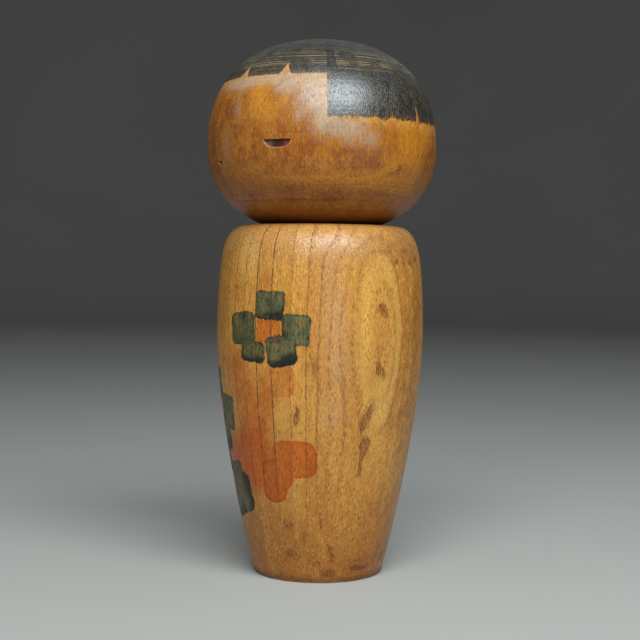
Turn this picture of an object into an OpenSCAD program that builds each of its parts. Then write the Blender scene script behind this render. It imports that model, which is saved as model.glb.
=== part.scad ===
// Turned wooden doll: a body block and a head block that meet at the neck on a loose dowel.
// It stands on z = 0 with its axis on Z, and its face looks along -Y. All sizes are in mm.

/* [Body] */
// Height of the body, from the base to the flat top that carries the head
body_h = 130.3; // [120:0.1:150]
// Radius of the base, outside its rounded edge
base_r = 24.4; // [20:0.1:30]
// Radius of the rounding where the side meets the base
base_round = 0.9; // [0.4:0.1:2]
// Radius of the body at its widest place
body_r = 38.8; // [36:0.1:44]
// Height of the widest place
widest_z = 91.8; // [75:0.1:100]
// How far the side stays close to upright below the widest place
belly_h = 35.6; // [20:0.1:60]
// How much the body narrows between the widest place and the shoulder
shoulder_taper = 1.05; // [0:0.05:3]
// Drop of the shoulder's rounding below the flat top
shoulder_h = 16.3; // [10:0.1:18]
// Radius of the flat top
top_r = 26; // [23:0.1:28]

/* [Head] */
// Radius of the head at its widest place
head_r = 42.8; // [38:0.1:48]
// Height of the widest place above the neck
head_mid = 28.9; // [24:0.1:30]
// Height of the crown above the widest place
crown_h = 39.8; // [32:0.1:48]
// Depth at which the lower half would close if it were not cut flat at the neck
jaw_h = 31.9; // [31.5:0.1:34]
// Fullness of the head's outline, where 2 is an ellipse
fullness = 2.3; // [2:0.05:2.6]

/* [Face] */
// Angle from the middle of the face to the middle of each eye
eye_angle = 38.5; // [20:0.5:60]
// Height of the straight upper lid above the neck
eye_z = 28.7; // [20:0.1:36]
// Width of an eye along its upper lid
eye_w = 11.2; // [6:0.1:14]
// Drop of the round lower lid below the upper one
eye_drop = 2.8; // [1.5:0.1:3]
// Height of the mouth's upper edge above the neck
mouth_z = 22.2; // [14:0.1:26]
// Width of the mouth
mouth_w = 3; // [2:0.1:5]
// Drop of the mouth's round lower edge
mouth_drop = 1.3; // [0.6:0.1:1.5]
// Depth to which the eyes and the mouth are cut
carve_depth = 0.8; // [0.5:0.1:1.5]

/* [Neck] */
// Radius of the dowel
peg_r = 5; // [3:0.1:8]
// Depth of the dowel's socket in the body, and the length of dowel that stands above it
peg_depth = 22; // [12:0.5:30]
// Gap between the dowel and the wall of each socket
peg_gap = 0.05; // [0.02:0.01:0.1]
// Space above the dowel in the head, so that the head rests on the body
peg_air = 1; // [0.5:0.1:3]
// Chamfer on the dowel's ends and at the mouth of each socket
chamfer = 0.8; // [0.3:0.1:1.2]

/* [Underside] */
// Number of slots that the lathe's prongs left in the base
prong_count = 4; // [2:1:6]
// Distance of the slots from the middle of the base
prong_r = 9; // [6:0.5:14]
// Length of a slot
prong_l = 5; // [3:0.5:7]
// Width of a slot
prong_w = 1.3; // [0.8:0.1:2]
// Depth of a slot
prong_depth = 1.5; // [0.5:0.1:3]

/* [Hidden] */
$fn = 96;
// Straight runs in each curve of an outline
steps = 24;
// Overlap that lets a cutter break cleanly through a surface
eps = 0.01;
// Length of the eye and mouth cutters, which start outside the head
cutter_l = 6;
// How far the side flares in the first few millimetres above the base's rounding
flare_r = 0.6;
flare_h = 2;
shoulder_r = body_r - shoulder_taper;
shoulder_z = body_h - shoulder_h;
// Lean of the side where the taper ends, which the shoulder's curve carries on from
shoulder_lean = 2 * shoulder_taper / (shoulder_z - widest_z);
// Lengths of the shoulder curve's handles, upwards from its foot and outwards from its top
shoulder_up = shoulder_h * 0.86;
shoulder_out = (shoulder_r - top_r) * 0.58;
// Radius of the flat seat on which the head stands
seat_r = head_r * pow(1 - pow(head_mid / jaw_h, fullness), 1 / fullness);

// Points of the cubic curve from a to d with handles b and c
function curve(a, b, c, d) = [
    for (i = [0:steps])
        let (t = i / steps, u = 1 - t)
        u * u * u * a + 3 * u * u * t * b + 3 * u * t * t * c + t * t * t * d
];

// Radius of the head at a height above its widest place, or below it if the height is negative
function head_radius(h) =
    head_r * pow(max(0, 1 - pow(abs(h) / (h < 0 ? jaw_h : crown_h), fullness)), 1 / fullness);

// Half of the body's outline, up its side from the base to the flat top
function body_outline() = concat(
    [[0, 0]],
    [for (a = [-90:15:0]) [base_r - base_round + base_round * cos(a), base_round + base_round * sin(a)]],
    curve(
        [base_r, base_round + eps],
        [base_r + flare_r, base_round + flare_h],
        [body_r, widest_z - belly_h],
        [body_r, widest_z]
    ),
    [
        for (i = [1:steps / 2 - 1])
            let (t = 2 * i / steps)
            [body_r - shoulder_taper * t * t, widest_z + (shoulder_z - widest_z) * t]
    ],
    curve(
        [shoulder_r, shoulder_z],
        [shoulder_r - shoulder_lean * shoulder_up, shoulder_z + shoulder_up],
        [top_r + shoulder_out, body_h],
        [top_r, body_h]
    ),
    [[0, body_h]]
);

// Half of the head's outline, from its flat seat up to the crown, with z = 0 at the neck
function head_outline() = concat(
    [[0, 0]],
    [for (i = [0:steps]) let (h = head_mid * (i / steps - 1)) [head_radius(h), head_mid + h]],
    [
        for (i = [1:steps])
            let (h = crown_h * sin(90 * i / steps))
            [i < steps ? head_radius(h) : 0, head_mid + h]
    ]
);

// Outline with a straight top edge on the X axis and a round edge below it
module half_moon(width, drop) {
    arc_r = (width * width / 4 + drop * drop) / (2 * drop);
    intersection() {
        translate([0, arc_r - drop])
            circle(arc_r);
        translate([-width / 2, -drop])
            square([width, drop]);
    }
}

// Flat-floored cut in the face, at an angle from its middle and a height above the neck
module face_cut(angle, z, width, drop) {
    floor_y = head_radius(z - head_mid) - carve_depth;
    rotate([0, 0, angle])
        translate([0, -floor_y, z])
            rotate([90, 0, 0])
                linear_extrude(cutter_l)
                    half_moon(width, drop);
}

// Blind socket that opens downwards at z = 0, with a chamfered mouth
module socket(depth) {
    socket_r = peg_r + peg_gap;
    translate([0, 0, -eps])
        cylinder(r = socket_r, h = depth + eps);
    translate([0, 0, -eps])
        cylinder(r1 = socket_r + chamfer + eps, r2 = socket_r, h = chamfer + eps);
}

// Slots that the prongs of the lathe left in the base
module prong_slots() {
    for (i = [0:prong_count - 1])
        rotate([0, 0, 360 * i / prong_count])
            translate([prong_r - prong_l / 2, -prong_w / 2, -eps])
                cube([prong_l, prong_w, prong_depth + eps]);
}

// The body, turned from one block, with the dowel's socket in its flat top
module body() {
    color("#b87a35")
        difference() {
            rotate_extrude()
                polygon(body_outline());
            translate([0, 0, body_h])
                mirror([0, 0, 1])
                    socket(peg_depth);
            prong_slots();
        }
}

// The dowel on which the head turns, and off which it lifts
module neck_peg() {
    length = 2 * peg_depth;
    color("#dcb884")
        translate([0, 0, body_h - peg_depth])
            rotate_extrude()
                polygon([
                    [0, 0],
                    [peg_r - chamfer, 0],
                    [peg_r, chamfer],
                    [peg_r, length - chamfer],
                    [peg_r - chamfer, length],
                    [0, length]
                ]);
}

// The head, turned from a second block, with the carved eyes and mouth
module head() {
    color("#a5662b")
        translate([0, 0, body_h])
            difference() {
                rotate_extrude()
                    polygon(head_outline());
                socket(peg_depth + peg_air);
                for (side = [-1, 1])
                    face_cut(side * eye_angle, eye_z, eye_w, eye_drop);
                face_cut(0, mouth_z, mouth_w, mouth_drop);
            }
}

body();
neck_peg();
head();
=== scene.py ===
"""A turned wooden doll on a pale floor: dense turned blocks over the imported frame, in solid-wood materials.

Bearings are degrees round the doll's axis: 0 in the middle of the face, growing towards the doll's own left.
Lengths in the outlines and in the materials are in millimetres. MM turns them into Blender's metres.
"""
import math

import bmesh
import bpy
from mathutils import Matrix, Vector, noise


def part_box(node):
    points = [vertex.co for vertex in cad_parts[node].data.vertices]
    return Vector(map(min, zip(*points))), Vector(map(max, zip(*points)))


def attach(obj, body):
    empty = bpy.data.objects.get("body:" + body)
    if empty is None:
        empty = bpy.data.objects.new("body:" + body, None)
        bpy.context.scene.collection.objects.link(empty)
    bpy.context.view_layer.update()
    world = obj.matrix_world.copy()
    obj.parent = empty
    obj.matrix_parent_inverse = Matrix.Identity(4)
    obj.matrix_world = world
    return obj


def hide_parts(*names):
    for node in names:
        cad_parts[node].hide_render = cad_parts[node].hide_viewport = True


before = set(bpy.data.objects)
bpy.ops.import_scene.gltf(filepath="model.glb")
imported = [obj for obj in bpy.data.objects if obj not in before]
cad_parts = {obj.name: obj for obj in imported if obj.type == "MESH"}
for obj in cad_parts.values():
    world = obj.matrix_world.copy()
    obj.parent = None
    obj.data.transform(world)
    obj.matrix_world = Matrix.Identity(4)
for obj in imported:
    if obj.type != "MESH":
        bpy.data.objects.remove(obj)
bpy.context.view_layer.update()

MM = 0.001

# -------- sizes from the frame, in millimetres


def node_box(name):
    """Lowest and highest corner of a CAD node, in millimetres."""
    low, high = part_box(name)
    return low / MM, high / MM


BODY_HIGH = node_box("body")[1]
HEAD_HIGH = node_box("head")[1]
PEG_LOW, PEG_HIGH = node_box("neck_peg")
BODY_R = BODY_HIGH.x
HEAD_R = HEAD_HIGH.x
NECK_Z = BODY_HIGH.z
CROWN_Z = HEAD_HIGH.z
PEG_R = PEG_HIGH.x

# The turned outlines
BASE_R = 24.4
BASE_ROUND = 0.9
WIDEST_Z = 91.8
BELLY_H = 35.6
SHOULDER_Z = 114.0
SHOULDER_TAPER = 1.05
TOP_R = 26.0
HEAD_MID_Z = NECK_Z + 28.9
JAW_H = 31.9
FULLNESS = 2.3
# The dowel and its sockets
SOCKET_R = PEG_R + 0.05
SOCKET_FLOOR_Z = PEG_LOW.z
SOCKET_ROOF_Z = PEG_HIGH.z + 1.0
CHAMFER = 0.8
# The carved eyes and mouth
EYE_BEARING = 38.5
EYE_Z = NECK_Z + 28.7
EYE_W = 10.0
EYE_DROP = 2.8
MOUTH_Z = NECK_Z + 22.2
MOUTH_W = 3.0
MOUTH_DROP = 1.3
CARVE_DEPTH = 0.8
# The slots that the lathe's prongs left in the base
PRONG_COUNT = 4
PRONG_R = 9.0
PRONG_L = 5.0
PRONG_W = 1.3
PRONG_DEPTH = 1.5
# Faces round each turned piece, and the angle from which an edge stays crisp
BODY_SIDES = 320
HEAD_SIDES = 288
PEG_SIDES = 96
FLOOR_SIDES = 96
CREASE_DEG = 40
# What the layers of numbers on a mesh hold where a place lies outside every mark, in millimetres
FAR = 99.0
CLEAR = 20.0
OUTSIDE = -9


# -------- outlines


def curve(a, b, c, d, steps):
    """Points of the cubic curve from a to d with handles b and c."""
    points = []
    for i in range(steps + 1):
        t = i / steps
        u = 1 - t
        weights = (u * u * u, 3 * u * u * t, 3 * u * t * t, t * t * t)
        points.append(tuple(sum(w * p[k] for w, p in zip(weights, (a, b, c, d))) for k in (0, 1)))
    return points


def cos_sin(degrees):
    """Cosine and sine of an angle in degrees."""
    a = math.radians(degrees)
    return math.cos(a), math.sin(a)


def line(a, b, steps):
    """Points along a straight line, without its first point."""
    run, rise = b[0] - a[0], b[1] - a[1]
    return [(a[0] + run * i / steps, a[1] + rise * i / steps) for i in range(1, steps + 1)]


def lines_to(start, *corners):
    """Points of straight stretches from a start, without it. Each corner is its radius, height and steps."""
    points = []
    for radius, z, steps in corners:
        points += line(start, (radius, z), steps)
        start = (radius, z)
    return points


def arc(centre, radius, start, end, steps):
    """Points round an arc from start to end, in degrees, without its first point."""
    points = []
    for i in range(1, steps + 1):
        c, s = cos_sin(start + (end - start) * i / steps)
        points.append((centre[0] + radius * c, centre[1] + radius * s))
    return points


def smooth(low, high, value):
    """0 below low, 1 above high, and an S curve between them."""
    t = min(1, max(0, (value - low) / (high - low)))
    return t * t * (3 - 2 * t)


def head_radius(z):
    """Radius of the head at a height."""
    h = z - HEAD_MID_Z
    reach = JAW_H if h < 0 else CROWN_Z - HEAD_MID_Z
    return HEAD_R * max(0, 1 - abs(h / reach) ** FULLNESS) ** (1 / FULLNESS)


def body_outline():
    """(radius, height) points from the middle of the base, up the side and down into the socket."""
    shoulder_r = BODY_R - SHOULDER_TAPER
    shoulder_h = NECK_Z - SHOULDER_Z
    lean = 2 * SHOULDER_TAPER / (SHOULDER_Z - WIDEST_Z)
    up = shoulder_h * 0.86
    rim_r = BASE_R - BASE_ROUND
    points = [(0, 0)] + line((0, 0), (rim_r, 0), 40)
    points += arc((rim_r, BASE_ROUND), BASE_ROUND, -90, 0, 6)
    foot, flare = (BASE_R, BASE_ROUND), (BASE_R + 0.6, BASE_ROUND + 2)
    points += curve(foot, flare, (BODY_R, WIDEST_Z - BELLY_H), (BODY_R, WIDEST_Z), 100)[1:]
    steps = 26
    for i in range(1, steps + 1):
        t = i / steps
        points.append((BODY_R - SHOULDER_TAPER * t * t, WIDEST_Z + (SHOULDER_Z - WIDEST_Z) * t))
    handle = (TOP_R + (shoulder_r - TOP_R) * 0.58, NECK_Z)
    start, rise = (shoulder_r, SHOULDER_Z), (shoulder_r - lean * up, SHOULDER_Z + up)
    points += curve(start, rise, handle, (TOP_R, NECK_Z), 34)[1:]
    mouth, neck = (SOCKET_R + CHAMFER, NECK_Z, 24), (SOCKET_R, NECK_Z - CHAMFER, 2)
    socket = (SOCKET_R, SOCKET_FLOOR_Z, 8), (0, SOCKET_FLOOR_Z, 4)
    return points + lines_to((TOP_R, NECK_Z), mouth, neck, *socket)


def head_outline():
    """(radius, height) points from the roof of the dowel's socket, round the seat and up to the crown."""
    roof = (0, SOCKET_ROOF_Z)
    socket = (SOCKET_R, SOCKET_ROOF_Z, 4), (SOCKET_R, NECK_Z + CHAMFER, 8)
    seat = (SOCKET_R + CHAMFER, NECK_Z, 2), (head_radius(NECK_Z), NECK_Z, 18)
    points = [roof] + lines_to(roof, *socket, *seat)
    for low, high, steps in ((NECK_Z, HEAD_MID_Z, 48), (HEAD_MID_Z, CROWN_Z, 80)):
        for i in range(1, steps + 1):
            z = low + (high - low) * cos_sin(90 * i / steps)[1]
            points.append((head_radius(z), z))
    points[-1] = (0, z)
    return points


def peg_outline():
    """(radius, height) points of the dowel, with its chamfered ends and a shallow groove near each."""
    groove, groove_at, groove_half = 0.25, 6, 0.5
    low, high = PEG_LOW.z, PEG_HIGH.z
    points = [(0, low)] + lines_to((0, low), (PEG_R - CHAMFER, low, 4), (PEG_R, low + CHAMFER, 2))
    steps = 88
    for i in range(1, steps):
        z = low + CHAMFER + (high - low - 2 * CHAMFER) * i / steps
        gaps = (z - low - groove_at, high - groove_at - z)
        ring = sum(math.exp(-(gap / groove_half) ** 2) for gap in gaps)
        points.append((PEG_R - groove * ring, z))
    top = (PEG_R, high - CHAMFER)
    return points + [top] + lines_to(top, (PEG_R - CHAMFER, high, 2), (0, high, 4))


# -------- meshes


def lathe(outline, around, closed=True):
    """A mesh, in millimetres, turned from an outline that starts on the axis and, if closed, ends on it."""
    mesh = bmesh.new()
    turns = [2 * math.pi * i / around for i in range(around)]
    rings = []
    for radius, z in outline[1:-1] if closed else outline[1:]:
        rings.append([mesh.verts.new((radius * math.sin(a), -radius * math.cos(a), z)) for a in turns])
    first = mesh.verts.new((0, 0, outline[0][1]))
    last = mesh.verts.new((0, 0, outline[-1][1])) if closed else None
    for i in range(around):
        j = (i + 1) % around
        mesh.faces.new((first, rings[0][j], rings[0][i]))
        for low, high in zip(rings, rings[1:]):
            mesh.faces.new((low[i], low[j], high[j], high[i]))
        if closed:
            mesh.faces.new((rings[-1][i], rings[-1][j], last))
    if closed:
        bmesh.ops.recalc_face_normals(mesh, faces=mesh.faces)
    return mesh


def add_object(name, data):
    """A new object in the scene, made of data."""
    thing = bpy.data.objects.new(name, data)
    bpy.context.scene.collection.objects.link(thing)
    return thing


def finish_mesh(name, mesh):
    """Turns the millimetre mesh into a smooth-shaded object in metres."""
    data = bpy.data.meshes.new(name)
    bmesh.ops.scale(mesh, vec=(MM, MM, MM), verts=mesh.verts)
    mesh.to_mesh(data)
    mesh.free()
    for face in data.polygons:
        face.use_smooth = True
    data.set_sharp_from_angle(angle=math.radians(CREASE_DEG))
    return add_object(name, data)


def refine(mesh, inside, cuts):
    """Cuts the faces whose centre is inside into a finer grid, for a small carved detail."""
    faces = [f for f in mesh.faces if inside(f.calc_center_median())]
    edges = list({e for f in faces for e in f.edges})
    bmesh.ops.subdivide_edges(mesh, edges=edges, cuts=cuts, use_grid_fill=True)


def towards(bearing):
    """Unit vector that points outwards at a bearing."""
    c, s = cos_sin(bearing)
    return Vector((s, -c, 0))


def across(bearing):
    """Unit vector round the axis at a bearing."""
    return Vector((*cos_sin(bearing), 0))


def half_moon(u, v, width, drop):
    """Rough signed distance to a boat shape: a straight edge on v = 0 and a full belly below it."""
    reach = (abs(u) / (width / 2)) ** 2.7 + (abs(v) / drop) ** 2
    return max(v, (math.sqrt(reach) - 1) * drop * 0.9)


def carve(mesh, bearing, z, width, drop):
    """Sinks a half-moon cut into the head, with a crisp upper lid and a slightly worn lower rim."""
    out, side = towards(bearing), across(bearing)
    margin = 1.6

    def near(point):
        return (
            point.dot(out) > HEAD_R / 2
            and abs(point.dot(side)) < width / 2 + margin
            and -drop - margin < point.z - z < margin
        )

    refine(mesh, near, 7)
    for v in mesh.verts:
        if not near(v.co):
            continue
        flat = Vector((v.co.x, v.co.y, 0))
        gap = v.co.z - z
        if flat.length < head_radius(v.co.z) - 0.001:
            flat = flat.normalized() * head_radius(v.co.z)
        inside = -half_moon(flat.dot(side), gap, width, drop)
        wall = 0.22 if gap > -drop / 3 else 0.42
        depth = CARVE_DEPTH * smooth(-0.12, wall, inside)
        depth += 0.05 * smooth(0.8, 0.1, abs(inside)) * noise.noise(flat * 1.3)
        flat = flat - out * max(0, depth)
        v.co = (flat.x, flat.y, v.co.z)


def wear(mesh, seed, amount, edges):
    """Takes the lathe's perfection off a block: slight waves, a few dents, and worn edges.

    It only moves the surface inwards, so the block stays inside its CAD solid. amount is the depth in
    millimetres, and edges lists the height, radius and reach of each worn edge.
    """
    shift = Vector((seed * 7.1, seed * 3.3, seed * 5.7))
    for v in mesh.verts:
        p = v.co
        radius = math.hypot(p.x, p.y)
        if radius < SOCKET_R + 2 * CHAMFER:
            continue
        wave = 0.5 + 0.5 * noise.noise(p / 24 + shift)
        dent = smooth(0.52, 0.75, noise.noise(p / 7 + shift * 2))
        dent += 0.5 * smooth(0.5, 0.7, noise.noise(p / 3 + shift))
        depth = amount * (0.5 * wave + 0.8 * dent)
        for z, r, reach in edges:
            close = math.hypot(p.z - z, radius - r)
            nick = 0.4 + 0.6 * smooth(-0.1, 0.5, noise.noise(p / 4 + shift * 3))
            depth += 0.3 * nick * smooth(reach, 0, close)
        v.co = p - Vector((p.x / radius, p.y / radius, 0)) * depth


# -------- dye strokes and soft marks, stored on the meshes


def petal_distance(u, v, half_w, half_h, corner):
    """Signed distance to a brush mark: a rectangle with soft corners."""
    qx, qy = abs(u) - half_w + corner, abs(v) - half_h + corner
    return math.hypot(max(qx, 0), max(qy, 0)) + min(max(qx, qy), 0) - corner


class Mark:
    """A mark on a block's surface at a bearing and a height, turned by its lean."""

    def __init__(self, bearing, z, lean):
        self.out, self.side, self.z = towards(bearing), across(bearing), z
        self.cos, self.sin = cos_sin(lean)

    def place(self, point):
        """How far along and up the mark a point lies from its middle."""
        du, dv = point.dot(self.side), point.z - self.z
        return du * self.cos + dv * self.sin, dv * self.cos - du * self.sin


class Stroke(Mark):
    """One pull of a flat brush on the body, whose dye pools at one end.

    pool is the direction of that end, pooled how much dye it gains, and tone the dye's strength elsewhere.
    """

    def __init__(self, bearing, z, width, height, lean, pool, pooled, corner, tone):
        super().__init__(bearing, z, lean)
        self.half_w, self.half_h, self.corner = width / 2, height / 2, corner
        self.pool = Vector(cos_sin(pool))
        self.pooled, self.tone = pooled, tone

    def sample(self, point):
        """(signed distance, strength of the dye) at a point of the body's surface."""
        if point.dot(self.out) < 0:
            return FAR, 0
        u, v = self.place(point)
        distance = petal_distance(u, v, self.half_w, self.half_h, self.corner)
        along = u / self.half_w * self.pool.x + v / self.half_h * self.pool.y
        return distance, self.tone + self.pooled * smooth(0.1, 1, along)


class Blot(Mark):
    """A soft oval mark, such as a knot, a stain or a faded place."""

    def __init__(self, bearing, z, half_w, half_h, strength, lean=0):
        super().__init__(bearing, z, lean)
        self.half_w, self.half_h, self.strength = half_w, half_h, strength

    def sample(self, point):
        """How strongly the mark covers a point of the surface."""
        if point.dot(self.out) < 0:
            return 0
        u, v = self.place(point)
        u, v = u / self.half_w, v / self.half_h
        return self.strength * math.exp(-u * u - v * v)


def paint(mesh_data, layer, strokes):
    """Stores the distance to the nearest stroke, and the dye's strength there, on the mesh's vertices."""
    near = mesh_data.attributes.new(layer + "_distance", "FLOAT", "POINT")
    strength = mesh_data.attributes.new(layer + "_strength", "FLOAT", "POINT")
    for i, v in enumerate(mesh_data.vertices):
        point = v.co / MM
        best = min((s.sample(point) for s in strokes), key=lambda found: found[0])
        near.data[i].value = min(best[0], CLEAR)
        strength.data[i].value = best[1]


def green_flower(bearing, z, turn=0, scale=1):
    """Five flat-brush petals round a gap for the orange heart, no two of them alike."""
    deg_per_mm = 180 / math.pi / BODY_R
    petals = [
        # across, up, width, height, lean, pool, pooled, corner, tone
        (0.5, 9.2, 11.6, 10.2, -2, 285, 0.55, 1.4, 0.42),
        (-11.8, 0.7, 12, 11.6, 3, 300, 0.15, 2.2, 0.5),
        (10.6, 0.7, 10.4, 11.2, -3, 200, 0.3, 1, 0.4),
        (-6.7, -7.6, 10.8, 7.4, -6, 275, 0.7, 1.6, 0.48),
        (5.1, -6.9, 11.6, 11.2, 8, 285, 1.05, 2.6, 0.4),
    ]
    c, s = cos_sin(turn)
    strokes = []
    for across_mm, up, width, height, lean, pool, *touch in petals:
        x, y = (across_mm * c - up * s) * scale, (across_mm * s + up * c) * scale
        size = (width * scale, height * scale)
        strokes.append(Stroke(bearing + x * deg_per_mm, z + y, *size, lean + turn, pool + turn, *touch))
    return strokes


def orange_marks():
    """Orange dye strokes: the hearts of the green flowers, and flat patches between and below them."""
    return [
        # bearing, z, width, height, lean, pool, pooled, corner, tone
        Stroke(31.6, 92, 9.4, 8, 0, 270, 0.1, 0.8, 0.7),
        Stroke(39.4, 74.6, 9.6, 11.6, 0, 0, 0.15, 3.4, 0.45),
        Stroke(45.2, 46.4, 16.6, 13.4, 0, 0, 0.1, 4.6, 0.88),
        Stroke(33.4, 40.6, 12.6, 10, 0, 250, 0.1, 3.6, 0.9),
        Stroke(31, 36, 9.6, 12, -4, 250, 0.15, 4.4, 0.95),
        Stroke(-24, 61, 9.6, 8.2, 0, 270, 0.1, 0.8, 0.7),
        Stroke(-22, 34, 9.4, 8.4, 12, 270, 0.1, 0.8, 0.7),
        Stroke(-62, 88, 9.4, 8, 0, 270, 0.1, 0.8, 0.7),
        Stroke(-52, 65, 11, 12, 8, 270, 0.15, 3.4, 0.55),
        Stroke(-62, 41, 15, 13.6, -5, 180, 0.12, 4.4, 0.85),
        Stroke(-44, 36, 13, 18, 5, 250, 0.15, 4, 0.85),
    ]


def green_marks():
    """One green flower on the doll's left, three on its right, and a broad petal low on the front."""
    broad_petal = Stroke(-2.2, 32, 13.8, 15.4, 3, 20, 0.75, 4.2, 0.42)
    return (
        green_flower(31.6, 92)
        + green_flower(-26, 61.2, -3, 1.14)
        + green_flower(-22, 34, 12, 1.05)
        + green_flower(-62, 88, 5)
        + [broad_petal]
    )


# Blots, listed one by one: bearing, height, half width, half height, strength and sometimes lean
BODY_STAINS = [
    # The long crack-like stain and the flecks above it on the doll's left
    (87.8, 50.4, 1.8, 3.8, 1.3),
    (89.6, 52.6, 1.4, 1.6, 1, 40),
    (86, 43, 1.1, 5.6, 0.95),
    (88, 61, 1.9, 5, 0.85),
    (84.6, 58, 1, 5, 0.65),
    (91.6, 66, 2.4, 5, 0.6),
    (93, 79, 1.6, 3.6, 0.95),
    (97, 77, 1.4, 3, 0.8),
    (93, 90, 2.6, 6, 0.45),
    (82, 72, 0.9, 6, 0.45),
    # The brown spot in the middle of the oval figure
    (94.6, 100.6, 2.1, 2.2, 1.1),
    (97, 98.4, 1.8, 1.8, 0.85),
    (99.6, 105, 1.4, 2, 0.6),
    # Flecked places down the front of the left side
    (48, 63, 1.7, 4, 0.9),
    (46.4, 60, 0.9, 2.4, 0.6),
    (57.2, 79, 1.4, 5, 0.8),
    (55, 84, 0.8, 3, 0.5),
    (76, 113, 2.2, 2, 0.5),
    (7.4, 74, 0.5, 1.6, 0.9),
    (9.6, 74.6, 0.45, 1.5, 0.9),
    (11.6, 73.6, 0.45, 1.4, 0.8),
    # Marks near the base
    (80, 31, 3.8, 1.2, 0.55),
    (38, 22, 4, 3.4, 0.75),
    (38, 11, 4.6, 3.4, 0.7),
    (50, 17, 3, 6, 0.6),
    (70, 12, 1.4, 5, 0.75, 18),
    (62, 24, 1, 7, 0.7, 12),
    (60, 8, 5, 2.4, 0.6),
    (66, 4, 2.8, 2, 0.9),
    (72, 3.6, 2, 1.6, 0.7),
    (92, 5.4, 2.6, 1, 1),
    (99, 5, 3.2, 1, 0.9),
    (126, 8, 2, 4, 0.8, -35),
    # Dark streaks across the left shoulder
    (92, 121.5, 3.4, 0.8, 0.55, -8),
    (102, 120.6, 2.6, 0.9, 0.7, 25),
    (107, 117.2, 2.2, 1.1, 1, 35),
    (113, 116, 2.6, 0.8, 0.8),
    (120, 116.4, 1.3, 1.2, 1),
    (116, 121, 4, 1.4, 0.75, 12),
    (128, 118, 3, 1.4, 0.8),
    # Marks on the sides that face away
    (140, 60, 1.6, 8, 0.7),
    (172, 102, 1.4, 4, 0.7),
    (190, 84, 1.8, 3, 0.8),
    (233, 38, 1.4, 6, 0.8),
    (262, 72, 1.2, 5, 0.7),
    (290, 24, 3, 1.6, 0.7),
    (205, 8, 3, 1.4, 0.8),
]
BODY_HAZE = [
    # Worn, slightly pink varnish down the side that has been held
    (66, 100, 5.5, 26, 0.85),
    (72, 82, 5, 20, 0.55),
    (66, 62, 4.5, 8, 0.7),
    (84, 122, 6, 3, 0.5),
    (20, 118, 3, 6, 0.4),
    (200, 76, 8, 24, 0.7),
    (278, 96, 7, 14, 0.6),
]
BODY_GOLD = [
    # The pale oval of the figure and other bright bands
    (85, 96, 2.6, 20, 0.75),
    (93, 110, 4, 4, 0.4),
    (96, 70, 4, 7, 0.6),
    (98, 60, 2.6, 5, 0.5),
    (12, 119, 3, 9, 0.9),
    (20, 118, 2, 8, 0.7),
    (38, 62, 4, 9, 0.5),
    (44, 30, 4, 9, 0.35),
    (176, 60, 5, 22, 0.8),
    (226, 96, 4, 22, 0.7),
    (312, 40, 5, 14, 0.6),
]
BODY_DEEP_AND_SHADE = [
    # Darker, redder heartwood at the edge of the oval and under the shoulder; the four blots on the shoulder
    # itself are painted shade
    (124, 84, 6, 34, 0.75),
    (113, 88, 1.2, 26, 0.6),
    (118, 50, 2.6, 20, 0.45),
    (136, 40, 5, 24, 0.6),
    (96, 6, 6, 4, 0.9),
    (120, 7, 8, 6, 0.7),
    (95, 86, 2.4, 8, 0.3),
    # Painted shade on the shoulder, on the doll's left
    (118, 119, 7, 3, 0.8),
    (120, 124, 10, 5, 0.9),
    (100, 125, 8, 3, 0.5),
    (100, 121, 5, 2, 0.4),
    (-4, 100, 5, 20, 0.55),
    (2, 124, 4, 5, 0.5),
    (2, 12, 6, 12, 0.5),
    (160, 90, 4, 26, 0.7),
    (252, 60, 5, 30, 0.7),
    (330, 84, 5, 26, 0.5),
]
BODY_WASH = [
    # Thin orange dye round the flowers
    (-4, 44, 9, 8, 1),
    (12, 45, 8, 10, 0.85),
    (22, 45, 7, 12, 0.75),
    (18, 66, 9, 15, 0.62),
    (4, 80, 8, 9, 0.45),
    (29, 110, 3.4, 5, 0.4),
    (32, 70, 4, 9, 0.4),
    (-40, 46, 8, 8, 0.8),
    (-44, 74, 8, 8, 0.4),
]
HEAD_STAINS = [
    (101, 149.6, 1.2, 3.2, 0.9),
    (97, 148, 2.4, 1, 0.8, 20),
    (103, 156, 0.8, 6, 0.5),
    (-1, 152, 2.2, 1.2, 0.6),
    (46, 156, 2, 2, 0.3),
    (200, 152, 1.6, 5, 0.7),
    (262, 160, 1.4, 4, 0.6),
    (300, 149, 4, 1.2, 0.6),
]
HEAD_HAZE_AND_SHEEN = [
    # Dry, whitened varnish under the fringe, and dull patches over the cheeks; the pale patches on the brow
    # and near the middle of the face are partly painted reflections of the light
    (56, 177, 6.5, 7, 1.25),
    (60, 168, 4, 9, 0.7),
    (40, 178.6, 3.4, 4, 1.2, -35),
    (33, 181, 3, 2.2, 0.9),
    (20, 180, 5, 2, 0.8),
    (8, 179.6, 7, 2.4, 0.9),
    (14, 172, 2.2, 7, 0.6, 12),
    (48, 168, 3, 4, 0.5),
    (68, 164, 8, 4, 1.1),
    (80, 160, 8, 5, 0.7),
    (7, 157, 4.6, 9, 0.5),
    (300, 178, 9, 5, 0.9),
    (200, 160, 9, 6, 0.5),
]
HEAD_GOLD = [
    (26, 176, 4.6, 6, 0.9),
    (33, 169, 5, 5, 0.8),
    (42, 173, 2, 3, 0.7),
    (104, 160, 5, 8, 0.8),
    (112, 152, 4, 9, 0.8),
    (120, 163, 6, 5, 0.9),
    (96, 150.6, 5, 1.8, 0.8, 25),
    (70, 145.6, 17, 2.2, 1, 2),
    (96, 144, 12, 2.6, 0.7),
    (38, 146, 8, 1.6, 0.55, -4),
    (110, 142, 10, 1.6, 0.6, -4),
    (80, 165, 6, 1.8, 0.4),
    (320, 160, 8, 6, 0.8),
    (200, 146, 16, 1.8, 0.7),
]
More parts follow.
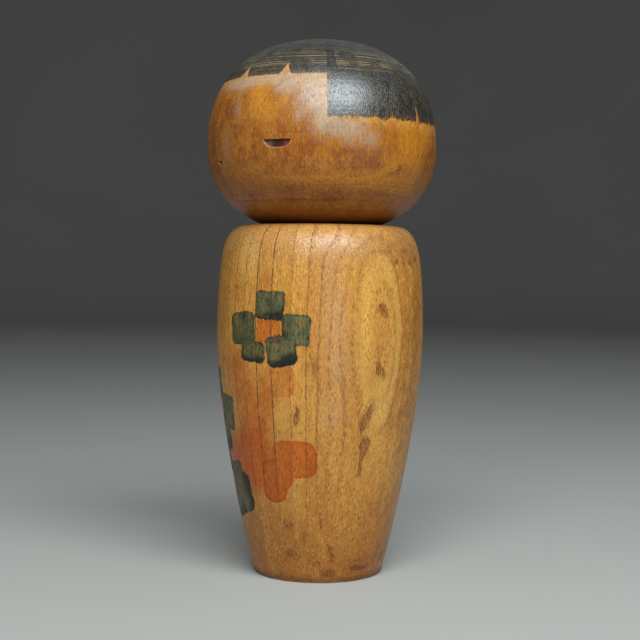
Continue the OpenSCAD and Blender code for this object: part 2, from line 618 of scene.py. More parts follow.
HEAD_DEEP = [
    # Mauve-brown and red-brown places
    (76, 153.6, 8, 4.2, 0.75, 6),
    (84, 151, 6, 2.4, 0.6, 14),
    (10, 170, 4, 4, 0.8),
    (-2, 160, 6, 12, 0.7),
    (48, 163, 3.6, 2.6, 0.5),
    (20, 152, 8, 5, 0.4),
    (60, 138.6, 18, 1.2, 0.35),
    (250, 156, 10, 8, 0.7),
]


def blotch(mesh_data, **layers):
    """Stores how strongly each layer's soft marks cover each vertex."""
    for layer, places in layers.items():
        blots = [Blot(*place) for place in places]
        store = mesh_data.attributes.new(layer, "FLOAT", "POINT")
        for i, v in enumerate(mesh_data.vertices):
            point = v.co / MM
            store.data[i].value = sum(b.sample(point) for b in blots)


# -------- node trees written as formulas


def operator(operation, swapped=False):
    """An arithmetic operator of Value, which adds a Math node."""

    def apply(self, other):
        pair = (other, self) if swapped else (self, other)
        return self.tree.maths(operation, *pair)

    return apply


class Value:
    """A number in a node tree. Arithmetic on it adds Math nodes, so a material reads as formulas."""

    def __init__(self, tree, socket):
        self.tree, self.socket = tree, socket

    __add__ = __radd__ = operator("ADD")
    __mul__ = __rmul__ = operator("MULTIPLY")
    __sub__, __rsub__ = operator("SUBTRACT"), operator("SUBTRACT", swapped=True)
    __truediv__, __rtruediv__ = operator("DIVIDE"), operator("DIVIDE", swapped=True)
    __pow__ = operator("POWER")


def colour(text):
    """Linear RGBA from a #rrggbb colour."""
    parts = [int(text[i:i + 2], 16) / 255 for i in (1, 3, 5)]
    linear = [c / 12.92 if c <= 0.04045 else ((c + 0.055) / 1.055) ** 2.4 for c in parts]
    return (*linear, 1)


class Tree:
    """A material's node tree, with one short method for each kind of node that the materials use."""

    def __init__(self, name):
        self.material = bpy.data.materials.new(name)
        self.material.use_nodes = True
        self.nodes = self.material.node_tree.nodes
        self.links = self.material.node_tree.links
        self.nodes.clear()
        place = self.value("ShaderNodeTexCoord", output="Object")
        split = self.add("ShaderNodeSeparateXYZ", {0: place})
        self.x, self.y, self.z = (Value(self, split.outputs[i]) * (1 / MM) for i in range(3))
        self.radius = self.maths("SQRT", self.x * self.x + self.y * self.y)

    def add(self, kind, inputs=None, **settings):
        """Adds a node, applies its settings, and sets or links its inputs."""
        node = self.nodes.new(kind)
        for key, value in settings.items():
            setattr(node, key, value)
        for key, value in (inputs or {}).items():
            if isinstance(value, Value):
                self.links.new(value.socket, node.inputs[key])
            else:
                node.inputs[key].default_value = value
        return node

    def value(self, kind, inputs=None, output=0, **settings):
        """What a new node gives out."""
        return Value(self, self.add(kind, inputs, **settings).outputs[output])

    def maths(self, operation, *values):
        return self.value("ShaderNodeMath", dict(enumerate(values)), operation=operation)

    def least(self, a, b):
        return self.maths("MINIMUM", a, b)

    def most(self, a, b):
        return self.maths("MAXIMUM", a, b)

    def size(self, a):
        return self.maths("ABSOLUTE", a)

    def smooth(self, low, high, value):
        """0 below low, 1 above high, with an S curve between. low may be the higher number."""
        if low > high:
            return 1 - self.smooth(high, low, value)
        sockets = {"Value": value, "From Min": low, "From Max": high}
        return self.value("ShaderNodeMapRange", sockets, "Result", interpolation_type="SMOOTHSTEP")

    def blend(self, factor, a, b):
        """a where the factor is 0 and b where it is 1."""
        return a + (b - a) * factor

    def noise(self, across_mm, along_mm, detail=2, rough=0.5, shift=0):
        """Cloudy noise from 0 to 1, about 0.5, in cells that are across_mm wide and along_mm tall."""
        sizes = ((self.x, across_mm), (self.y, across_mm), (self.z, along_mm))
        parts = {i: part / size + shift for i, (part, size) in enumerate(sizes)}
        place = self.value("ShaderNodeCombineXYZ", parts)
        sockets = {"Vector": place, "Scale": 1, "Detail": detail, "Roughness": rough}
        return self.value("ShaderNodeTexNoise", sockets)

    def scatter(self, value):
        """A steady random number from 0 to 1 for each whole value."""
        return self.value("ShaderNodeTexWhiteNoise", {"W": value}, "Value", noise_dimensions="1D")

    def noise_1d(self, value):
        """Cloudy noise from 0 to 1 along one number."""
        sockets = {"W": value, "Scale": 1, "Detail": 2}
        return self.value("ShaderNodeTexNoise", sockets, noise_dimensions="1D")

    def stored(self, layer):
        """A number that the mesh carries on its vertices."""
        source = {"attribute_name": layer, "attribute_type": "GEOMETRY"}
        return self.value("ShaderNodeAttribute", output="Fac", **source)

    def mix(self, factor, a, b, how="MIX"):
        """Colour a overlaid with colour b. a and b are colours or #rrggbb."""
        a, b = (colour(c) if isinstance(c, str) else c for c in (a, b))
        sockets = {0: factor, 6: a, 7: b}
        return self.value("ShaderNodeMix", sockets, 2, data_type="RGBA", blend_type=how)

    def coats(self, base, *pairs):
        """base with other colours over it, one (cover, colour) pair after another."""
        for cover, tone in pairs:
            base = self.mix(cover, base, tone)
        return base

    def finish(self, base, rough, height_mm, specular=0.42):
        """Joins colour, roughness and a height in millimetres to one surface shader."""
        sockets = {"Height": height_mm, "Strength": 1, "Distance": MM}
        bump = self.value("ShaderNodeBump", sockets)
        sockets = {"Base Color": base, "Roughness": rough, "Normal": bump, "Specular IOR Level": specular}
        shader = self.add("ShaderNodeBsdfPrincipled", sockets)
        shader.inputs["IOR"].default_value = 1.48
        surface = Value(self, shader.outputs[0])
        self.add("ShaderNodeOutputMaterial", {"Surface": surface})
        return self.material


# -------- wood


VARNISH = 0.31
PALE_WOOD = "#c98f3e"
DEEP_WOOD = "#a06222"
GOLD_WOOD = "#dcae58"
RED_WOOD = "#7c4212"
HEAD_PALE = "#aa6b22"
HEAD_DARK = "#7d3d0e"
HEAD_AMBER = "#b6721b"
BORED_WOOD = "#caa06a"
BARE_ROUGH = 0.62
# The oval figure on the doll's left: its bearing, the height of its middle and its half sizes
OVAL_BEARING = 95
OVAL_Z = 89
OVAL_HALF_W = 9.4
OVAL_HALF_H = 31.5


class Figure:
    """The growth rings, pores and fibres that a block of wood shows wherever it is cut.

    facing is the bearing that the rings bulge towards, pith the distance from the axis back to the tree's
    centre, gap the usual ring spacing and first the ring number at the axis. Beyond crowd_from the rings get
    narrower. Where follow is given, the rings run with the turned side as if it were a straight wall of that
    radius. sink is how far below its usual depth a place is cut, which bends the lines into ovals and arches.
    """

    def __init__(
        self, tree, facing, pith, gap, first, crowd_from=99, crowding=0, follow=0, sink=None, shift=0
    ):
        t = tree
        c, s = cos_sin(facing)
        out = t.x * s - t.y * c
        side = t.x * c + t.y * s
        if follow:
            stretch = follow / t.most(t.radius, TOP_R)
            out, side = out * stretch, side * stretch
        wander = (t.noise(34, 90, 1, shift=shift) - 0.5) * 1.6
        wander = wander + (t.noise(4, 22, 1, shift=shift) - 0.5) * 0.35
        depth = t.maths("SQRT", (out + pith) ** 2 + side * side) - pith + wander
        if sink:
            depth = depth - sink
        beyond = t.most(depth - crowd_from, 0.0001)
        rings = depth / gap + first + beyond ** 2.7 * crowding
        spacing = 1 / (beyond ** 1.7 * (2.7 * crowding) + 1 / gap)
        self.tree, self.shift = t, shift
        # The number of a place's ring, and how far through the ring it lies: as a share, and in millimetres
        self.ring = t.maths("FLOOR", rings)
        self.phase = rings - self.ring
        self.after = self.phase * spacing
        self.before = (1 - self.phase) * spacing
        self.own = t.scatter(self.ring + shift)

    def ring_line(self, width):
        """The dark line of open pores where each year's growth starts, broken into dashes."""
        t = self.tree
        edge = t.smooth(width, 0.08, self.after) * t.smooth(0, 0.12, self.before)
        dashes = t.smooth(0.36, 0.54, t.noise(0.5, 2, 2, shift=self.shift + 3))
        return edge * t.blend(dashes, 0.3, 1)

    def pores(self, across_mm=0.5, along_mm=1.9):
        """Short dark dashes along the grain, most of them in the early part of each year's growth."""
        t = self.tree
        dash = t.smooth(0.52, 0.62, t.noise(across_mm, along_mm, 2, 0.5, self.shift + 11))
        return dash * t.blend(t.smooth(0.8, 0.1, self.phase), 0.45, 1)

    def fibres(self):
        """Fine streaks along the grain, from 0 to 1."""
        t = self.tree
        coarse = t.noise(0.8, 12, 2, 0.6, self.shift + 17)
        return coarse * 0.6 + t.noise(0.35, 4, 1, 0.5, self.shift + 19) * 0.4

    def tone(self):
        """How dark each ring is, which differs a little from ring to ring and rises through the ring."""
        return self.own * 0.55 + self.phase * 0.45


def patch(t, layer, ragged, low, high):
    """A stored soft mark given an uneven, patchy edge."""
    stored = t.stored(layer)
    return t.smooth(low, high, stored + ragged * t.smooth(0.02, 0.2, stored))


def flecked_stain(t):
    """Stored stains broken up into the small dark flecks of pores that have soaked them up."""
    stored = t.smooth(0.03, 0.85, t.stored("stain"))
    flecks = t.noise(0.32, 1.5, 2, 0.6, 23) * 0.8 + t.noise(1.8, 3.2, 2, 0.6, 25) * 0.2
    core = t.smooth(0.6, 1, stored) * 0.25
    return t.most(core, t.smooth(-0.04, 0.12, flecks - t.blend(stored, 0.76, 0.46)))


def bare_wood(t, f, lines, pores):
    """Colour of wood that was never varnished: the base, the seat of the head and the sockets."""
    bare = t.mix(t.smooth(0.3, 0.75, f.tone()), "#c69a62", "#ad7c48")
    return t.mix(lines * 0.6 + pores * 0.3, bare, "#6b4320")


def oval_rings(t, aside, front):
    """(inside the oval figure, pale rings, dark rings): its innermost rings, one oval inside another."""
    # 0 in the middle of the oval and 1 at its edge
    nest = t.maths("SQRT", (aside / OVAL_HALF_W) ** 2 + ((t.z - OVAL_Z) / OVAL_HALF_H) ** 2)
    nest = nest + (t.noise(5, 9, 2, 0.6, 27) - 0.5) * 0.22
    pale = t.smooth(0.22, 0, t.size(nest - 0.86)) * t.smooth(1.06, 0.96, nest) * 0.5
    pale = pale + t.smooth(1.05, 0.6, nest) * 0.16
    pale = pale + t.smooth(0.16, 0, t.size(nest - 0.5)) * 0.15
    dark = t.smooth(0.09, 0, t.size(nest - 1.06)) * 0.8
    dark = dark + t.smooth(0.06, 0, t.size(nest - 0.68)) * 0.5
    return t.smooth(1, 0.9, nest) * front, pale, dark


def flower_dyes(t, base, ragged):
    """(colour with the orange and green dyes over base, cover of the green dye)."""
    # The dye soaks in further along the grain, so the edges of a stroke are a little ragged
    soak = (t.noise(0.45, 2, 2, 0.6, 31) - 0.5) * 1.1 + (t.noise(2, 2.6, 2, 0.6, 33) - 0.5) * 2.4
    streaks = t.noise(0.7, 4, 3, 0.65, 37)
    clouds = t.noise(2.6, 3.4, 3, 0.6, 39)
    distance = t.stored("orange_distance") + soak * 0.6
    stroke = t.smooth(0.3, -0.3, distance) * t.stored("orange_strength")
    rim = t.smooth(-1.2, -0.1, distance) * t.smooth(0.5, 0, distance)
    wash = t.smooth(0.05, 1, t.stored("wash") + ragged * 0.12)
    orange = t.most(stroke, wash) * t.blend(streaks, 0.8, 1.2) + rim * stroke * 0.25
    base = t.mix(t.least(orange, 1.15), base, "#f2ae62", "MULTIPLY")
    base = t.mix(rim * stroke * 0.3, base, "#e0a070", "MULTIPLY")

    distance = t.stored("green_distance") + soak * 0.75
    green = t.smooth(0.3, -0.25, distance)
    pooled_rim = t.smooth(-1.1, -0.2, distance) * 0.22
    dots = t.smooth(0.58, 0.66, t.noise(0.7, 0.9, 2, 0.5, 43)) * 0.35
    load = t.stored("green_strength") + (streaks - 0.5) * 0.9 + (clouds - 0.5) * 1.5 + pooled_rim + dots
    dye = t.coats(
        "#a6bfc4",
        (t.smooth(0.1, 0.6, load), "#66888f"),
        (t.smooth(0.6, 1.1, load), "#34494f"),
        (t.smooth(1.15, 1.6, load), "#141c20"),
    )
    base = t.mix(green, base, dye, "MULTIPLY")
    # Thin dye dries milky, and thick dye hides the wood
    milky = t.smooth(0.9, 0.35, load) * t.blend(t.smooth(0.3, 0.7, clouds), 0.05, 0.45)
    thick = green * t.smooth(0.5, 1.1, load) * 0.45
    return t.coats(base, (green * milky, "#56695a"), (thick, "#16201e")), green


def body_material():
    """Amber varnished hardwood with dye flowers, pore stains, worn haze and grime at its edges."""
    t = Tree("body_wood")
    middle, beside = towards(OVAL_BEARING), across(OVAL_BEARING)
    aside = t.x * beside.x + t.y * beside.y
    front = t.smooth(-4, 8, t.x * middle.x + t.y * middle.y)
    # How far round the block a place lies from the middle of the oval: 0 there and 1 a quarter turn away
    turned_away = t.size(aside) / t.most(t.radius, 1)
    oval = t.smooth(WIDEST_Z, 118, t.z) + t.smooth(WIDEST_Z, 58, t.z)
    oval = oval * t.smooth(0.6, 0.34, turned_away) * 0.75
    ends = t.smooth(114, 132, t.z) * 2 + t.smooth(34, -8, t.z) * 3.6
    ends = ends * t.smooth(0.72, 0.5, turned_away)
    sink = (oval + ends) * front * t.smooth(TOP_R - 6, TOP_R - 1, t.radius)
    f = Figure(t, OVAL_BEARING, 70, 4.45, -2.57, 28, 0.0075, follow=BODY_R, sink=sink)
    inside_oval, pale_rings, dark_rings = oval_rings(t, aside, front)
    broad = t.noise(15, 30, 3, 0.55, 2)
    fine = t.noise(2.4, 4.6, 3, 0.62, 5)
    speck = t.noise(0.55, 1.2, 2.5, 0.6, 7)
    ragged = (fine - 0.5) * 1.2 + (speck - 0.5) * 0.5
    fibres = f.fibres()
    pores = f.pores()

    # The two rings beside the flower have the darkest lines, and behind the oval the lines fade out
    bold = t.maths("EXPONENT", (f.ring - 2.5) ** 2 * -0.7)
    behind = t.smooth(-6, 9, aside)
    line_load = t.blend(behind, 0.42 + f.own * 0.3 + bold * 0.28, 0.28 + f.own * 0.15)
    line_load = line_load * t.blend(t.smooth(3.5, 7.5, f.ring), 1, 0.45) * (1 - inside_oval)
    lines = f.ring_line(0.42) * line_load * t.blend(t.smooth(15, 62, t.z), 0.35, 1)

    tone = f.tone() * 0.25 + broad * 0.45 + (fine - 0.5) * 0.55 + (fibres - 0.5) * 0.35 + 0.12
    # Darker towards the base: painted shade on the lower body
    tone = tone + t.smooth(45, 0, t.z) * 0.25
    gold = patch(t, "gold", ragged, 0, 1.2) * t.blend(t.smooth(0.35, 0.6, fibres), 0.6, 1)
    haze = patch(t, "haze", ragged, 0, 1.3) * t.blend(t.smooth(0.35, 0.6, fibres), 0.65, 1)
    pale_rings = pale_rings * t.blend(t.smooth(0.3, 0.62, fibres), 0.35, 1.25) * t.blend(fine, 0.6, 1.3)
    pale_rings = pale_rings * t.blend(t.smooth(-9, 5, aside), 0.45, 1)
    # Rays: short level dashes that show where the block is cut across the rings
    rays = t.smooth(0.54, 0.64, t.noise(1.3, 0.42, 2, 0.5, 13))
    rays = rays * t.blend(t.smooth(88, 112, t.z), 0.25, 1) * t.blend(behind, 1, 0.4)
    stain = flecked_stain(t)
    base = t.coats(
        t.mix(t.smooth(0.2, 0.8, tone), PALE_WOOD, DEEP_WOOD),
        (gold * 0.75, GOLD_WOOD),
        # Red heartwood, and painted shade on the shoulder
        (patch(t, "deep", ragged, 0.05, 1.1) * 0.55, RED_WOOD),
        (pale_rings * front, "#cc9e54"),
        (dark_rings * front * t.smooth(-2, 3, aside) * 0.5, "#8a4f18"),
        (haze * 0.55, "#bb9066"),
        # Painted shade under the head: the shoulder is darkened and dulled towards the neck
        (t.smooth(110, 125, t.z) * 0.45, "#a5794a"),
        (t.smooth(0.5, 0.72, speck) * 0.34, "#7d4512"),
        (t.smooth(0.48, 0.28, speck) * 0.26, "#e8bb6c"),
        (rays * 0.3, "#8a5018"),
        (pores * 0.5, "#6d390d"),
        (lines, "#3f2008"),
        # A stain is a soft halo with dark flecks in it
        (t.smooth(0.1, 1, t.stored("stain")) * 0.26, "#8a441c"),
        (stain * 0.8, "#481406"),
    )
    base, green = flower_dyes(t, base, ragged)

    # The wood next to the base is darker and rougher: painted shade where it meets the floor. The head has
    # rubbed the body's top dull
    foot = t.smooth(4.5, 0.4, t.z + ragged * 2)
    top = t.smooth(TOP_R + 1.5, TOP_R - 2, t.radius + ragged) * t.smooth(NECK_Z - 1.2, NECK_Z - 0.2, t.z)
    # The underside and the socket are bare
    under = t.smooth(0.5, 0.15, t.z)
    turned = t.maths("SINE", t.radius * 5.2 + fine * 2)
    inside = t.smooth(SOCKET_R + CHAMFER + 0.3, SOCKET_R + CHAMFER, t.radius) * t.smooth(60, 70, t.z)
    base = t.coats(
        base,
        # Painted shade at the foot
        (foot * 0.5, "#4c260b"),
        (top * 0.5, "#b98648"),
        (under, bare_wood(t, f, lines, pores)),
        (inside, BORED_WOOD),
    )

    rough = VARNISH + (fine - 0.5) * 0.14 + (broad - 0.5) * 0.08 + pores * 0.08 + haze * 0.05
    rough = rough + green * 0.08 + foot * 0.16 + stain * 0.12
    rough = t.most(rough, t.most(under, inside) * BARE_ROUGH)
    height = fibres * 0.03 - pores * 0.05 - lines * 0.09 + green * 0.012 - rays * 0.015
    height = height + fine * 0.05 + speck * 0.03 + t.maths("SINE", t.z * 3.1) * 0.003 + under * turned * 0.03
    return t.finish(base, rough, height)


# The hair's lower edge at the fringe and round the back, and the bearing where the fringe ends
FRINGE_Z = HEAD_MID_Z + 23
NAPE_Z = HEAD_MID_Z + 7.7
FRINGE_HALF = 62.3
# Slivers of bare wood in the hair's lower edge: bearing, height of the foot, rise, half width
SLIVERS = [
    (10.6, FRINGE_Z, 4, 2.6),
    (39.2, FRINGE_Z, 4.4, 2.6),
    (113.6, NAPE_Z, 6, 1.3),
    (-24, FRINGE_Z, 3.8, 2.8),
    (-50, FRINGE_Z, 2.6, 1.8),
    (-95, NAPE_Z, 4.6, 1.6),
    (142, NAPE_Z, 3.4, 1.4),
    (184, NAPE_Z, 5, 1.8),
    (226, NAPE_Z, 3.6, 1.2),
]


def hair_edges(t):
    """(distance inside the hair, above the fringe, and past the fringe's end), in millimetres."""
    bearing = t.size(t.maths("ARCTAN2", t.x, t.y * -1)) * (180 / math.pi)
    mm_per_deg = HEAD_R * math.pi / 180
    # The dye has run down the pores below the cut, and has missed a few pointed slivers of wood
    teeth = (t.noise(0.5, 4, 2, 0.6, 41) - 0.5) * 3.4
    wave = (t.noise(3, 9, 1, 0.5, 43) - 0.5) * 3
    fringe = t.z - FRINGE_Z + teeth * 0.12
    nape = t.z - NAPE_Z + teeth + wave
    past_end = (bearing - FRINGE_HALF) * mm_per_deg + (t.noise(0.8, 2, 2, 0.6, 47) - 0.5) * 0.7
    for at, foot_z, rise, half in SLIVERS:
        out, side = towards(at), across(at)
        gap = t.size(t.x * side.x + t.y * side.y) / half
        front = t.smooth(0, 5, t.x * out.x + t.y * out.y)
        spike = t.most(1 - gap, 0) ** 1.7 * rise * front
        if foot_z == FRINGE_Z:
            fringe = fringe - spike
        else:
            nape = nape - spike
    return t.most(fringe, t.least(nape, past_end)), fringe, past_end


def hair_dye(t, distance, fringe, past_end, fine, speck):
    """(colour, cover) of the near-black dye that makes the hair, where cover hides the wood."""
    cover = t.smooth(-0.25, 0.3, distance)
    # Thin lines round the crown that the brush left bare, fewer where two coats overlap at the fringe's end
    overlap = t.smooth(-0.3, 0.3, past_end) * t.smooth(4.8, 4, past_end) * t.smooth(-0.5, 0.6, fringe)
    level = t.z + (t.noise(22, 40, 1, 0.5, 51) - 0.5) * 1.6
    zone = t.smooth(FRINGE_Z + 1.4, FRINGE_Z + 2.6, level) * t.smooth(CROWN_Z - 5, CROWN_Z - 10, level)
    lines = t.smooth(0.5, 0.66, t.noise_1d(level / 0.42)) * t.smooth(0.36, 0.58, t.noise(9, 6, 3, 0.6, 53))
    lines = lines * zone * (1 - overlap * 0.7)
    # Wood that shows through in streaks where the dye is thin
    thin = t.smooth(0.52, 0.7, t.noise(1.5, 8, 3, 0.65, 57)) * t.smooth(FRINGE_Z + 5, FRINGE_Z - 2, t.z)
    edge = t.smooth(2.6, 0, distance) * t.smooth(0.5, 0.62, speck)
    dye = t.coats(
        "#201f1a",
        (t.smooth(0.3, 0.7, fine), "#38322a"),
        (t.smooth(0.5, 0.7, speck) * 0.4, "#111211"),
        (thin * 0.5, "#5d4526"),
        (lines * 0.75, "#8a744c"),
        (overlap * 0.4, "#151613"),
    )
    return dye, cover * (1 - edge * 0.55)


def face_coats(t):
    """(cover, colour) pairs that colour the carved eyes and mouth, and the cover of the eyes' dye."""
    eye = t.stored("eye")
    ink = t.smooth(-0.1, 0.3, eye + (t.noise(0.7, 0.7, 2, 0.6, 81) - 0.5) * 0.3)
    along = t.stored("eye_across") + (t.noise(1.2, 0.8, 2, 0.6, 83) - 0.5) * 0.5
    # Near black in the middle, worn brown at one corner and red at the other
    ink_colour = t.mix(t.smooth(-0.15, -0.6, along), "#1d0f0c", "#5c3a34")
    ink_colour = t.mix(t.smooth(0.2, 0.7, along), ink_colour, "#6a2a22")
    # The cut's lower rim is painted pale: a painted highlight where the lip catches the light
    rim = t.smooth(-0.45, -0.2, eye) * t.smooth(0.1, -0.1, eye) * t.stored("lower_lid")
    mouth = t.smooth(-0.1, 0.4, t.stored("mouth"))
    return [(rim * 0.2, "#c99a74"), (ink * 0.94, ink_colour), (mouth * 0.15, "#5c1f12")], ink


def head_material():
    """Darker varnished hardwood with near-black dye for hair and eyes, and a worn, hazy brow."""
    t = Tree("head_wood")
    f = Figure(t, 70, 60, 3.4, -1.6, 30, 0.004, shift=61)
    broad = t.noise(11, 14, 3, 0.6, 7)
    fine = t.noise(2.6, 3.8, 3, 0.62, 9)
    speck = t.noise(0.5, 1.5, 2.5, 0.6, 11)
    ragged = (fine - 0.5) * 1.3 + (speck - 0.5) * 0.5
    fibres = f.fibres()
    pores = f.pores(0.45)
    lines = f.ring_line(0.6) * (0.06 + f.own * 0.12)
    distance, fringe, past_end = hair_edges(t)

    tone = f.tone() * 0.15 + broad * 0.6 + (fine - 0.5) * 0.7 + (fibres - 0.5) * 0.3 + 0.12
    # Bands where the head narrows towards its seat and the rings are cut nearly level
    level = t.z + (t.noise(16, 30, 2, 0.5, 69) - 0.5) * 3
    bands = t.smooth(0.45, 0.65, t.noise_1d(level / 1.1)) * t.smooth(NECK_Z + 20, NECK_Z + 10, t.z)
    # Dry varnish, most of it just under the fringe; on the brow this pale coat is partly a painted reflection
    # of the light
    under_fringe = t.smooth(-7, -1.5, fringe + ragged * 3) * t.smooth(0.4, -0.6, past_end)
    haze = t.least(patch(t, "haze", ragged, 0.05, 1.2) + under_fringe * 0.4, 1)
    haze = haze * t.blend(t.smooth(0.4, 0.6, fibres), 0.75, 1)
    clear = 1 - haze * 0.6
    # A scored line low on the face
    score_gap = t.size(t.z - (NECK_Z + 8) + (t.noise(10, 10, 1, 0.5, 71) - 0.5) * 0.8)
    scored = t.smooth(0.55, 0.1, score_gap) * t.smooth(-8, 2, t.x) * t.smooth(40, 30, t.x)
    scored = scored * t.smooth(5, -5, t.y) * t.smooth(0.3, 0.45, t.noise(5, 40, 2, 0.5, 73))
    dye, hair = hair_dye(t, distance, fringe, past_end, fine, speck)
    face, ink = face_coats(t)
    # The lowest part of the head, next to the body, is darkened with painted shade and made a little rougher
    neck_shade = t.smooth(NECK_Z + 5.5, NECK_Z + 0.6, t.z + ragged * 2)
    # The seat and the socket are bare
    seat = t.smooth(NECK_Z + 0.25, NECK_Z + 0.1, t.z)
    inside = t.smooth(SOCKET_R + CHAMFER + 0.2, SOCKET_R + CHAMFER, t.radius)
    inside = inside * t.smooth(CROWN_Z - 20, CROWN_Z - 30, t.z)
    base = t.coats(
        t.mix(t.smooth(0.2, 0.8, tone), HEAD_PALE, HEAD_DARK),
        (patch(t, "gold", ragged, 0.1, 0.9) * 0.7, HEAD_AMBER),
        (patch(t, "deep", ragged, 0.1, 0.9) * 0.5, "#703a24"),
        (bands * 0.35, "#8a4a12"),
        # Sun has faded the wood next to the hair to gold
        (t.smooth(-5, -0.8, distance + ragged * 1.6) * 0.5, "#c68c3c"),
        # Worn varnish, and on the brow partly a painted reflection
        (haze * 0.85, "#a08a72"),
        (t.smooth(0.5, 0.7, speck) * clear * 0.36, "#6f3a0f"),
        (t.smooth(0.48, 0.28, speck) * 0.22, "#dda653"),
        (pores * clear * 0.5, "#5f300c"),
        (lines, "#54290b"),
        (scored * 0.4, "#451c07"),
        (flecked_stain(t) * 0.75, "#4a1f0a"),
        (hair, dye),
        *face,
        # Painted shade under the head
        (neck_shade * 0.45, "#3f1c08"),
        (seat, bare_wood(t, f, lines, pores)),
        (inside, BORED_WOOD),
    )

    rough = VARNISH + (fine - 0.5) * 0.14 + (broad - 0.5) * 0.08 + pores * 0.08 + haze * 0.06
    rough = rough + neck_shade * 0.12 + ink * 0.15
    rough = t.most(rough, t.most(seat, inside) * BARE_ROUGH)
    grit = t.noise(0.42, 0.7, 2, 0.6, 91)
    height = fibres * 0.03 - pores * 0.05 - lines * 0.04 - scored * 0.06 + hair * 0.01
    height = height + fine * 0.05 + speck * 0.03 + grit * hair * 0.04 + t.maths("SINE", t.z * 4.2) * 0.003
    return t.finish(base, rough, height, specular=hair * 0.42 + 0.38)


def peg_material():
    """Bare pale dowel with fine turning marks, darkened where it has rubbed in the sockets."""
    t = Tree("peg_wood")
    f = Figure(t, 20, 40, 1.7, 0, shift=101)
    mottle = t.noise(2.4, 7, 3, 0.6, 103)
    tone = f.tone() * 0.6 + mottle * 0.4
    base = t.mix(t.smooth(0.2, 0.8, tone), "#dcbc8a", "#c49a62")
    base = t.mix(f.ring_line(0.25) * 0.6 + f.pores(0.25, 1.6) * 0.4, base, "#8a5f34")
    rub = t.smooth(0.45, 0.7, t.noise(3, 1.4, 3, 0.6, 107))
    base = t.mix(rub * 0.35, base, "#94683a")
    rough = 0.55 + (mottle - 0.5) * 0.2 - rub * 0.12
    height = t.maths("SINE", t.z * 9 + mottle * 3) * 0.006 + f.fibres() * 0.03
    return t.finish(base, rough, height)


def floor_material():
    """Matt pale paper, very slightly uneven."""
    t = Tree("floor_paper")
    cloud = t.noise(300, 300, 3, 0.5, 3)
    base = t.mix(cloud, "#a5a29c", "#9b9892")
    return t.finish(base, 0.85 + (cloud - 0.5) * 0.1, t.noise(1.2, 1.2, 2, 0.5, 5) * 0.02, specular=0.2)


# -------- pieces


def store_face(mesh_data):
    """Stores where each vertex lies in an eye or in the mouth: how far inside, how far along, how low."""
    layers = ("eye", "eye_across", "lower_lid", "mouth")
    eye, along, lid, mouth = (mesh_data.attributes.new(layer, "FLOAT", "POINT") for layer in layers)
    for i, v in enumerate(mesh_data.vertices):
        p = v.co / MM
        bearing = EYE_BEARING if p.x > 0 else -EYE_BEARING
        u = p.dot(across(bearing))
        in_eye = in_mouth = OUTSIDE
        if p.dot(towards(bearing)) > 0:
            in_eye = -half_moon(u, p.z - EYE_Z, EYE_W, EYE_DROP)
        if p.y < 0:
            in_mouth = -half_moon(p.x, p.z - MOUTH_Z, MOUTH_W, MOUTH_DROP)
        eye.data[i].value = max(OUTSIDE, in_eye)
        along.data[i].value = max(-2, min(2, u / (EYE_W / 2)))
        lid.data[i].value = smooth(EYE_Z - 0.2, EYE_Z - 1.2, p.z)
        mouth.data[i].value = max(OUTSIDE, in_mouth)


def sink_prongs(mesh):
    """Sinks the slots that the lathe's prongs left into the underside."""
    for v in mesh.verts:
        if v.co.z > 0.2 or math.hypot(v.co.x, v.co.y) > PRONG_R + PRONG_L:
            continue
        for i in range(PRONG_COUNT):
            bearing = 90 + 360 * i / PRONG_COUNT
            u, w = v.co.dot(towards(bearing)) - PRONG_R, v.co.dot(across(bearing))
            inside = -petal_distance(u, w, PRONG_L / 2, PRONG_W / 2, 0.2)
            v.co.z = max(v.co.z, PRONG_DEPTH * smooth(-0.1, 0.35, inside))


def make_body():
    mesh = lathe(body_outline(), BODY_SIDES)
    wear(mesh, seed=1, amount=0.16, edges=[(BASE_ROUND / 2, BASE_R, 1.6), (NECK_Z - 3, TOP_R + 9, 4)])
    sink_prongs(mesh)
    piece = finish_mesh("doll_body", mesh)
    paint(piece.data, "green", green_marks())
    paint(piece.data, "orange", orange_marks())
    blotch(piece.data, stain=BODY_STAINS, haze=BODY_HAZE, gold=BODY_GOLD, deep=BODY_DEEP_AND_SHADE, wash=BODY_WASH)
    piece.data.materials.append(body_material())
    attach(piece, "body")
    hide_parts("body")


def make_head():
    mesh = lathe(head_outline(), HEAD_SIDES)
    wear(mesh, seed=2, amount=0.14, edges=[(NECK_Z, head_radius(NECK_Z), 1.2)])
    for bearing in (-EYE_BEARING, EYE_BEARING):
        carve(mesh, bearing, EYE_Z, EYE_W, EYE_DROP)
    carve(mesh, 0, MOUTH_Z, MOUTH_W, MOUTH_DROP)
    piece = finish_mesh("doll_head", mesh)
    store_face(piece.data)
    blotch(piece.data, stain=HEAD_STAINS, haze=HEAD_HAZE_AND_SHEEN, gold=HEAD_GOLD, deep=HEAD_DEEP)
    piece.data.materials.append(head_material())
    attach(piece, "head")
    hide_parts("head")


def make_peg():
    piece = finish_mesh("neck_dowel", lathe(peg_outline(), PEG_SIDES))
    piece.data.materials.append(peg_material())
    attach(piece, "neck_peg")
    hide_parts("neck_peg")


# -------- floor, light and camera

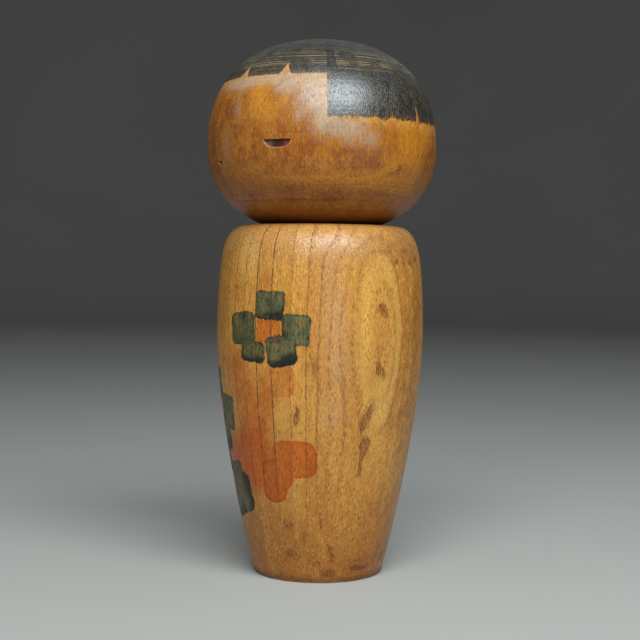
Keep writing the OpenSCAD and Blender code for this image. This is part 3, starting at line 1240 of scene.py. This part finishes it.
# The camera's place is in metres and its turns are in degrees
CAMERA_BEARING = 60
CAMERA_DISTANCE = 0.5138
CAMERA_HEIGHT = 0.1166
CAMERA_PITCH = 2.44
CAMERA_ROLL = 0.62
CAMERA_LENS = 76.6
LIGHT_AIM_Z = 0.11
LIGHTS = [
    # name, bearing, elevation, distance, width, height, watts, tint
    ("window", CAMERA_BEARING + 11, 46, 0.9, 0.9, 0.5, 18, (0.85, 0.95, 1)),
    ("fill", CAMERA_BEARING - 70, 15, 1.6, 1.2, 1, 1.5, (1, 0.95, 0.88)),
    ("back", CAMERA_BEARING + 170, 38, 1.5, 1.3, 1, 0.6, (0.9, 0.96, 1)),
]
SKY_TINT = (0.86, 0.92, 1, 1)
SKY_STRENGTH = 0.12


def make_floor():
    """A pale round sheet that curves up far away, so that every view has the same plain ground."""
    flat_r, bend_r, top_z = 2200, 1200, 2400
    outline = [(0, 0)] + line((0, 0), (flat_r, 0), 30)
    outline += arc((flat_r, bend_r), bend_r, -90, 0, 24)
    outline += line(outline[-1], (flat_r + bend_r, top_z), 4)
    mesh = lathe(outline, FLOOR_SIDES, closed=False)
    bmesh.ops.reverse_faces(mesh, faces=mesh.faces)
    piece = finish_mesh("floor", mesh)
    piece.data.materials.append(floor_material())


def make_light(name, bearing, elevation, distance, width, height, power, tint):
    """A rectangular soft light that faces the middle of the doll."""
    data = bpy.data.lights.new(name, "AREA")
    data.shape = "RECTANGLE"
    data.size, data.size_y = width, height
    data.energy = power
    data.color = tint
    light = add_object(name, data)
    level, rise = cos_sin(elevation)
    away = towards(bearing) * level + Vector((0, 0, rise))
    light.location = Vector((0, 0, LIGHT_AIM_Z)) + away * distance
    light.rotation_euler = away.to_track_quat("Z", "Y").to_euler()


def make_camera():
    data = bpy.data.cameras.new("camera")
    data.lens = CAMERA_LENS
    data.sensor_width = 36
    camera = add_object("camera", data)
    bpy.context.scene.camera = camera
    out = towards(CAMERA_BEARING)
    camera.location = out * CAMERA_DISTANCE + Vector((0, 0, CAMERA_HEIGHT))
    level, rise = cos_sin(CAMERA_PITCH)
    back = out * level + Vector((0, 0, rise))
    look = back.to_track_quat("Z", "Y").to_matrix()
    camera.rotation_euler = (look @ Matrix.Rotation(math.radians(CAMERA_ROLL), 3, "Z")).to_euler()


def make_world():
    world = bpy.data.worlds.new("studio")
    world.use_nodes = True
    background = world.node_tree.nodes["Background"]
    background.inputs["Color"].default_value = SKY_TINT
    background.inputs["Strength"].default_value = SKY_STRENGTH
    bpy.context.scene.world = world


make_camera()
make_body()
make_peg()
make_head()
make_floor()
make_world()
for light in LIGHTS:
    make_light(*light)
bpy.context.scene.view_settings.view_transform = "Standard"
